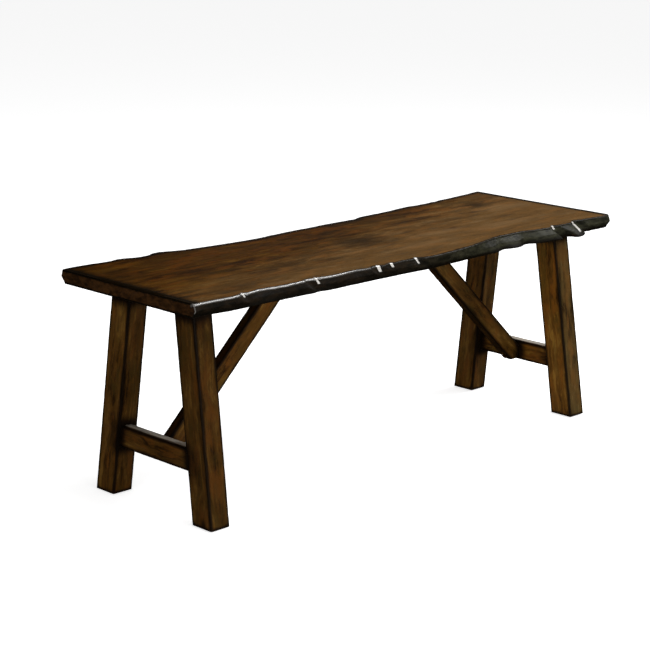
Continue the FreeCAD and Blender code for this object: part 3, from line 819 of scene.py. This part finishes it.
# Stretchers
# A walnut stretcher joins the legs of each end, tenoned into blind mortises a little behind their outer
# faces. Its top is painted pale as a sheen, and its coat is glossier there.
for end, top_sheen_strength, seed in (("left", 0.68, 20.0), ("right", 1.0, 21.0)):
    neighbours = ("front_" + end + "_leg", "back_" + end + "_leg", end + "_brace")
    frame_bar(end + "_stretcher", neighbours, seed, top_sheen_strength=top_sheen_strength)

# Battens
# A flat walnut batten lies across the leg tops of each end. It is dowelled and screwed to them and bolted
# to the seat.
for end, seed in (("left", 22.0), ("right", 23.0)):
    neighbours = ("front_" + end + "_leg", "back_" + end + "_leg", "front_inner_board", "back_inner_board")
    frame_bar(end + "_batten", neighbours, seed)

# Braces
# A slanting walnut brace at each end, bolted to the stretcher's inner face and to the underside of the
# seat. Its narrow sides are darkened nearly black.
for end, seed in (("left", 24.0), ("right", 25.0)):
    neighbours = (end + "_stretcher", "front_inner_board", "back_inner_board")
    frame_bar(end + "_brace", neighbours, seed, dark_sides=0.64)

# Bolts and washers
# Zinc-plated M6 cap screws with a hexagonal socket. Two hold each batten to the seat and one each end of a
# brace, each on a flat washer and into a threaded insert.
turned_sides = 48
socket_corner = 0.0029
socket_depth = 0.003
head_radius = 0.005
head_height = 0.006
head_ease = 0.0006
shank_radius = 0.003
shank_taper = 0.0008
turned_gap = 0.000005
turned_crease = math.radians(32)
widest_slack = 0.0002
middle_slack = 0.0001


def solids_of(node, flat):
    """Each solid of a node: the middle of the end nearer to its widest part, its axis and its length."""
    mesh = merged_copy(node)
    left = set(mesh.verts)
    found = []
    while left:
        island = set()
        waiting = [next(vert for vert in mesh.verts if vert in left)]
        while waiting:
            vert = waiting.pop()
            if vert in left:
                left.remove(vert)
                island.add(vert)
                waiting += [edge.other_vert(vert) for edge in vert.link_edges]
        points = numpy.array(sorted(tuple(vert.co) for vert in island))
        low, high = points.min(axis=0), points.max(axis=0)
        centre = (low + high) / 2 if flat else points.mean(axis=0)
        directions = numpy.linalg.svd(points - points.mean(axis=0))[2]
        axis = directions[2] if flat else directions[0]
        along = (points - centre) @ axis
        reach = numpy.linalg.norm(points - centre - numpy.outer(along, axis), axis=1)
        widest = along[reach > reach.max() - widest_slack].mean()
        if widest > (along.max() + along.min()) / 2 + middle_slack or (flat and axis[2] < 0):
            axis, along = -axis, -along
        found.append((Vector(centre + axis * along.min()), Vector(axis), float(along.max() - along.min())))
    mesh.free()
    return found


def turned_tree():
    """Turns a profile on its axis and sets a copy of it at each place."""
    tree, given, result = new_group(
        "turned pieces",
        [("Geometry", "Geometry"), ("Profile points", "Int"), ("Sides", "Int"), ("Finish", "Material")],
        [("Geometry", "Geometry")], "GeometryNodeTree",
    )

    def step(kind, inputs, **settings):
        return add_node(tree, "GeometryNode" + kind, inputs, **settings).outputs[0]

    def named(name, kind):
        return step("InputNamedAttribute", {"Name": name}, data_type=kind)

    def read(name, index):
        inputs = {"Geometry": given["Geometry"], "Index": index, "Value": named(name, "FLOAT")}
        return step("SampleIndex", inputs, data_type="FLOAT", domain="POINT")

    around = maths(tree, "ADD", given["Sides"], 1.0)
    grid = step("MeshGrid", {"Vertices X": given["Profile points"], "Vertices Y": around})
    index = step("InputIndex", {})
    ring = maths(tree, "FLOOR", maths(tree, "DIVIDE", index, around))
    side = maths(tree, "MODULO", index, around)
    turn = scaled(tree, maths(tree, "DIVIDE", side, given["Sides"]), 2 * math.pi)
    reach = read("reach", ring)
    socket = read("socket", ring)
    sixth = maths(tree, "SUBTRACT", maths(tree, "MODULO", turn, math.pi / 3), math.pi / 6)
    hexagon = maths(tree, "DIVIDE", math.cos(math.pi / 6), maths(tree, "COSINE", sixth))
    shrink = scaled(tree, maths(tree, "SUBTRACT", hexagon, 1.0), socket, 1.0)
    reach = scaled(tree, reach, shrink)
    place = add_node(tree, "ShaderNodeCombineXYZ", {
        0: scaled(tree, reach, maths(tree, "COSINE", turn)),
        1: scaled(tree, reach, maths(tree, "SINE", turn)),
        2: read("level", ring),
    })
    shaped = step("SetPosition", {"Geometry": grid, "Position": place.outputs[0]})
    turned = step("MergeByDistance", {"Geometry": shaped, "Distance": turned_gap})
    chosen = {"Geometry": given["Geometry"], "Selection": named("is_place", "BOOLEAN")}
    spots = step("SeparateGeometry", chosen)
    lean = named("lean", "FLOAT_VECTOR")
    copies = step("InstanceOnPoints", {"Points": spots, "Instance": turned, "Rotation": lean})
    real = step("RealizeInstances", {"Geometry": copies})
    finished = step("SetMaterial", {"Geometry": real, "Material": given["Finish"]})
    feed(tree, result, {"Geometry": finished})
    return tree


turned_pieces = turned_tree()


def turned_set(name, node, profile, solids, finish):
    """One turned piece for each solid. A profile point is its radius, its level and 1 on a hexagon."""
    data = bpy.data.meshes.new(name)
    data.from_pydata([(0, 0, 0)] * len(profile) + [place for place, _, _ in solids], [], [])
    for k, label in enumerate(("reach", "level", "socket")):
        values = [point[k] for point in profile] + [0.0] * len(solids)
        data.attributes.new(label, "FLOAT", "POINT").data.foreach_set("value", values)
    flags = [False] * len(profile) + [True] * len(solids)
    data.attributes.new("is_place", "BOOLEAN", "POINT").data.foreach_set("value", flags)
    leans = [0.0] * 3 * len(profile)
    for _, axis, _ in solids:
        leans += list(axis.to_track_quat("Z", "X").to_euler())
    data.attributes.new("lean", "FLOAT_VECTOR", "POINT").data.foreach_set("vector", leans)
    working = new_object(name + "_places", data)
    modifier = working.modifiers.new("turned", "NODES")
    modifier.node_group = turned_pieces
    values = {"Profile points": len(profile), "Sides": turned_sides, "Finish": finish}
    for item in turned_pieces.interface.items_tree:
        if item.in_out == "INPUT" and item.name in values:
            modifier[item.identifier] = values[item.name]
    shape = bpy.data.meshes.new_from_object(working.evaluated_get(bpy.context.evaluated_depsgraph_get()))
    bpy.data.objects.remove(working)
    mesh = bmesh.new()
    mesh.from_mesh(shape)
    bmesh.ops.remove_doubles(mesh, verts=mesh.verts, dist=turned_gap)
    bmesh.ops.recalc_face_normals(mesh, faces=mesh.faces)
    mesh.to_mesh(shape)
    mesh.free()
    smooth(shape, turned_crease)
    shape.name = name
    piece = new_object(name, shape)
    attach(piece, "root")
    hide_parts(node)


def metal_surface_group():
    """Plated or turned metal, with faint blotches and fine scratches."""
    group, given, result = new_group(
        "metal surface",
        [("Place", "Vector"), ("Light", "Color"), ("Dark", "Color"), ("Least roughness", "Float")],
        [("Colour", "Color"), ("Roughness", "Float"), ("Height", "Float")],
    )
    blotch = stretched_noise(group, given["Place"], (500, 500, 500), 3, 0.6)
    scratch = stretched_noise(group, given["Place"], (2500, 2500, 5000), 2, 0.5)
    rough = maths(group, "ADD", given["Least roughness"], ramped(group, blotch, 0.3, 0.7, 0.0, 0.14))
    feed(group, result, {
        "Colour": blended(group, ramped(group, blotch, 0.35, 0.65), given["Light"], given["Dark"]),
        "Roughness": scaled(group, scratch, 0.12, rough), "Height": scratch,
    })
    return group


metal_surface = metal_surface_group()


def metal_material(name, light, dark, roughness):
    material, tree, shader = new_material(name)
    surface = add_node(tree, "ShaderNodeGroup", {
        "Place": object_place(tree), "Light": light, "Dark": dark, "Least roughness": roughness,
    }, node_tree=metal_surface).outputs
    feed(tree, shader, {
        "Base Color": surface["Colour"], "Roughness": surface["Roughness"], "Metallic": 1.0,
        "Normal": bumped(tree, surface["Height"], 0.12, 0.0001),
    })
    return material


zinc_light = (0.58, 0.59, 0.61, 1)
zinc_dark = (0.40, 0.41, 0.43, 1)
zinc = metal_material("zinc plate", zinc_light, zinc_dark, 0.26)
bolts = solids_of("bolts", False)
bolt_length = bolts[0][2]
bolt_profile = [
    (0, socket_depth, 0), (socket_corner, socket_depth, 1), (socket_corner, head_ease / 2, 1),
    (socket_corner + head_ease / 2, 0, 0), (head_radius - head_ease, 0, 0),
    (head_radius - head_ease / 3, head_ease / 3, 0), (head_radius, head_ease, 0),
    (head_radius, head_height, 0), (shank_radius, head_height, 0),
    (shank_radius, bolt_length - shank_taper, 0), (shank_radius - shank_taper, bolt_length, 0),
    (0, bolt_length, 0),
]
turned_set("cap_bolts", "bolts", bolt_profile, bolts, zinc)
washer_radius = 0.006
washer_bore = 0.00315
washer_ease = 0.0003
washers = solids_of("washers", True)
washer_thickness = washers[0][2]
washer_profile = [
    (washer_bore, washer_ease, 0), (washer_bore + washer_ease, 0, 0), (washer_radius - washer_ease, 0, 0),
    (washer_radius, washer_ease, 0), (washer_radius, washer_thickness - washer_ease, 0),
    (washer_radius - washer_ease, washer_thickness, 0), (washer_bore, washer_thickness, 0),
    (washer_bore, washer_ease, 0),
]
turned_set("flat_washers", "washers", washer_profile, washers, zinc)

# Inserts, dowels and screws
# Brass inserts in the seat and the stretchers take the bolts. Beech dowels and countersunk screws fix the
# battens to the legs' tops, and a small screw holds each glide. They keep the solids' shapes.
brass_light = (0.62, 0.45, 0.18, 1)
brass_dark = (0.46, 0.32, 0.12, 1)
brass = metal_material("turned brass", brass_light, brass_dark, 0.30)
beech_light = (0.56, 0.36, 0.19, 1)
beech_dark = (0.42, 0.24, 0.11, 1)


def beech_material():
    material, tree, shader = new_material("beech dowel")
    fleck = stretched_noise(tree, object_place(tree), (900, 900, 120), 3, 0.6)
    feed(tree, shader, {
        "Base Color": blended(tree, ramped(tree, fleck, 0.40, 0.62), beech_light, beech_dark),
        "Roughness": ramped(tree, fleck, 0.3, 0.7, 0.55, 0.7),
        "Normal": bumped(tree, fleck, 0.3, 0.0002),
    })
    return material


kept_nodes = (
    ("threaded_inserts", brass), ("batten_dowels", beech_material()), ("batten_screws", zinc),
    ("glide_screws", zinc),
)
for node, finish in kept_nodes:
    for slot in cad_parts[node].material_slots:
        slot.material = finish

# Glides
# A round glide of dark brown moulded plastic under each foot, dished for the head of the screw that
# holds it.
glide_radius = 0.011
glide_ease = 0.0008
glide_bore = 0.00145
glide_dish = 0.0030
glide_dish_depth = 0.0006
glide_brown = (0.0105, 0.0080, 0.0062, 1)
glide_scuffed = (0.030, 0.025, 0.021, 1)


def glide_material():
    material, tree, shader = new_material("dark moulded plastic")
    place = object_place(tree)
    grain = stretched_noise(tree, place, (2600, 2600, 2600), 2, 0.5)
    scuff = stretched_noise(tree, place, (160, 260, 260), 4, 0.65)
    feed(tree, shader, {
        "Base Color": blended(tree, ramped(tree, scuff, 0.50, 0.72), glide_brown, glide_scuffed),
        "Roughness": ramped(tree, scuff, 0.35, 0.7, 0.42, 0.66),
        "Normal": bumped(tree, grain, 0.35, 0.0001),
    })
    return material


glides = solids_of("glides", True)
glide_thickness = glides[0][2]
glide_profile = [
    (glide_bore, 2 * glide_dish_depth, 0), (glide_dish, glide_dish_depth, 0), (glide_dish, 0, 0),
    (glide_radius - glide_ease, 0, 0), (glide_radius - glide_ease / 3, glide_ease / 3, 0),
    (glide_radius, glide_ease, 0), (glide_radius, glide_thickness, 0), (glide_bore, glide_thickness, 0),
    (glide_bore, 2 * glide_dish_depth, 0),
]
turned_set("foot_glides", "glides", glide_profile, glides, glide_material())

# Floor
# A plain pale studio floor, large enough to fill the picture.
floor_size = 60.0
floor_colour = (0.86, 0.86, 0.86, 1)
floor_glow = 0.20
floor_lift = 0.55                 # more glow for the eye alone, so that the background is white
floor_mesh = bmesh.new()
bmesh.ops.create_grid(floor_mesh, x_segments=1, y_segments=1, size=floor_size / 2)
floor_data = bpy.data.meshes.new("floor")
floor_mesh.to_mesh(floor_data)
floor_mesh.free()
floor = new_object("floor", floor_data)
floor_material, floor_tree, floor_shader = new_material("pale floor")
floor_rays = add_node(floor_tree, "ShaderNodeLightPath", {}).outputs["Is Camera Ray"]
feed(floor_tree, floor_shader, {
    "Base Color": floor_colour, "Roughness": 0.9, "Specular IOR Level": 0.0, "Emission Color": (1, 1, 1, 1),
    "Emission Strength": scaled(floor_tree, floor_rays, floor_lift, floor_glow),
})
floor_data.materials.append(floor_material)
floor.visible_glossy = False

# Studio light
# A white surround for the eye that the lacquer doesn't mirror, with soft boxes overhead, at the front, to
# the left and to the right. The one behind on the right puts the sheen on the seat's far end.
aim = Vector((0, 0, 0.3))
surround_glow = 0.20
soft_boxes = (
    ("overhead_box", (0.7, -1.2, 3.2), 2.4, 2.4, 60),
    ("front_box", (0.6, -2.0, 2.4), 1.6, 1.6, 30),
    ("low_front_box", (-0.7, -2.3, 0.7), 1.2, 0.8, 20),
    ("left_box", (-3.2, -0.9, 0.8), 1.4, 1.4, 14),
    ("right_box", (2.4, -0.6, 2.6), 1.0, 1.4, 50),
    ("sheen_box", (3.4, 2.9, 1.7), 2.4, 1.2, 1.5),
)


def soft_box(name, place, width, height, power):
    light = bpy.data.lights.new(name, "AREA")
    light.shape = "RECTANGLE"
    light.size = width
    light.size_y = height
    light.energy = power
    box = new_object(name, light)
    box.location = place
    box.rotation_euler = (aim - Vector(place)).to_track_quat("-Z", "Y").to_euler()
    box.visible_camera = False


for name, place, width, height, power in soft_boxes:
    soft_box(name, place, width, height, power)
world = bpy.data.worlds.new("studio")
world.use_nodes = True
rays = add_node(world.node_tree, "ShaderNodeLightPath", {}).outputs["Is Camera Ray"]
glow = maths(world.node_tree, "MAXIMUM", rays, surround_glow)
feed(world.node_tree, world.node_tree.nodes["Background"], {"Color": (1, 1, 1, 1), "Strength": glow})
world.cycles_visibility.glossy = False
bpy.context.scene.world = world
